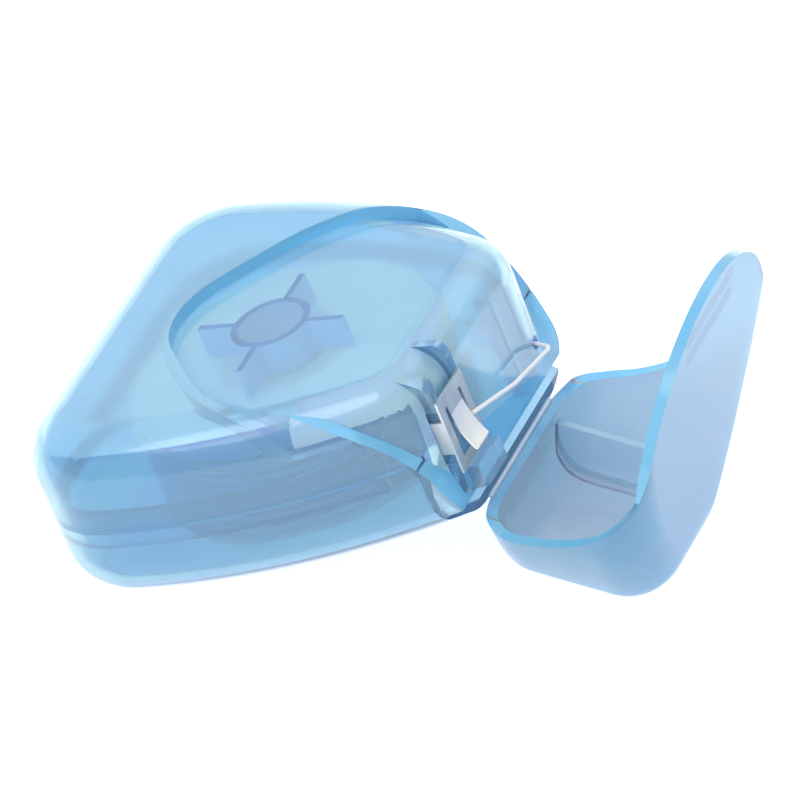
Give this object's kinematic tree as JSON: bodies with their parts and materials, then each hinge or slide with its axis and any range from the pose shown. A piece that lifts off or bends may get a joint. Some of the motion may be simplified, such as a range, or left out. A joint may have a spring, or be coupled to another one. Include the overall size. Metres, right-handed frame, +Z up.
{
  "type": "dental floss dispenser",
  "caption": "Pocket floss dispenser in clear plastic: a rounded two-shell case with a spool on an axle, a steel cutter on the end wall and a scoop-shaped flip lid, standing open.",
  "frame": {"origin": "middle of the footprint, at the floor that the wide end's back edge and the open lid's end stand on", "axes": "+X from the case's wide end to the open lid, +Y across the case, along the lid's hinge, +Z up"},
  "size_m": [0.0798, 0.055, 0.0424],
  "materials": {
    "clear_blue_shell": "clear light blue, polished, with deeper blue where it is seen edge on",
    "clear_blue_lid": "clear greyish blue, polished",
    "cutter_steel": "bright rolled sheet",
    "bobbin_plastic": "milky white",
    "floss": "waxed white filament with a faint green cast"
  },
  "bodies": {
    "case": {"rear_shell": "clear_blue_shell", "front_shell": "clear_blue_shell", "cutter_plate": "cutter_steel", "hinge_film": "clear_blue_shell", "floss_strand": "floss"},
    "lid": {"flip_lid": "clear_blue_lid"},
    "spool": {"bobbin_core": "bobbin_plastic", "floss_pack": "floss", "floss_outer_turns": "floss"}
  },
  "joints": [
    {"name": "lid_hinge", "type": "hinge", "parent": "case", "child": "lid", "pos_m": [0.01411, 0, 0.0133], "axis": [0, 1, 0], "range_deg": [-113.4, 20], "deforming": ["hinge_film"]},
    {"name": "spool_spin", "type": "hinge", "parent": "case", "child": "spool", "pos_m": [-0.01142, 0, 0.00777], "axis": [-0.2839, 0, 0.9588], "continuous": true}
  ]
}
